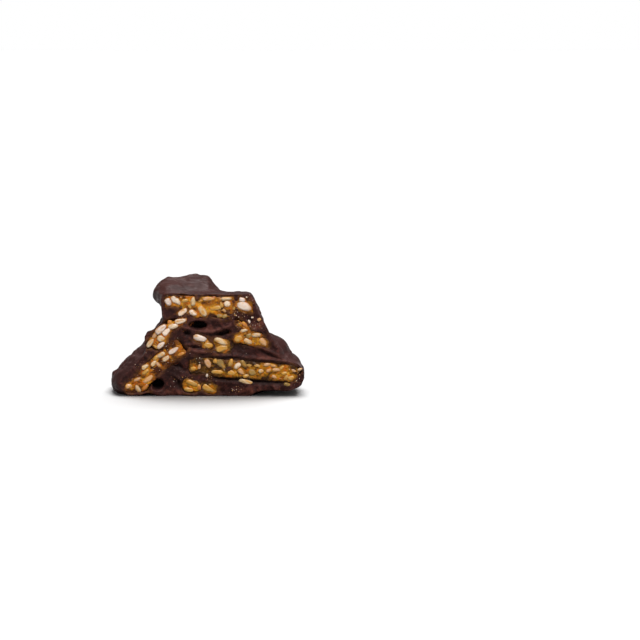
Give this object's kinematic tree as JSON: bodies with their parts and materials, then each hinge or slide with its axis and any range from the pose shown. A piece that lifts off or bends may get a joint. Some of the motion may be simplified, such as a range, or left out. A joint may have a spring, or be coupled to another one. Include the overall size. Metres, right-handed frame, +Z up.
{
  "type": "sesame nougatine",
  "caption": "Lump of broken sesame nougatine shards set and coated in dark chocolate, cut in half to show the amber seeded bands.",
  "frame": {"origin": "centre of the base, in the plane that the lump rests on", "axes": "+Z up, +X to the right along the cut face, +Y back from the cut face into the lump"},
  "size_m": [0.0488, 0.029, 0.0294],
  "materials": {
    "chocolate": "dark chocolate, satin outside and dull where cut",
    "nougatine": "glossy amber caramel full of sesame seeds"
  },
  "bodies": {
    "root": {"chocolate": "chocolate", "nougatine_top": "nougatine", "nougatine_upper_left": "nougatine", "nougatine_lower_left": "nougatine", "nougatine_crumb_left": "nougatine", "nougatine_crumb_right": "nougatine", "nougatine_upper_right": "nougatine", "nougatine_lower_right": "nougatine", "nougatine_base": "nougatine"}
  },
  "joints": []
}
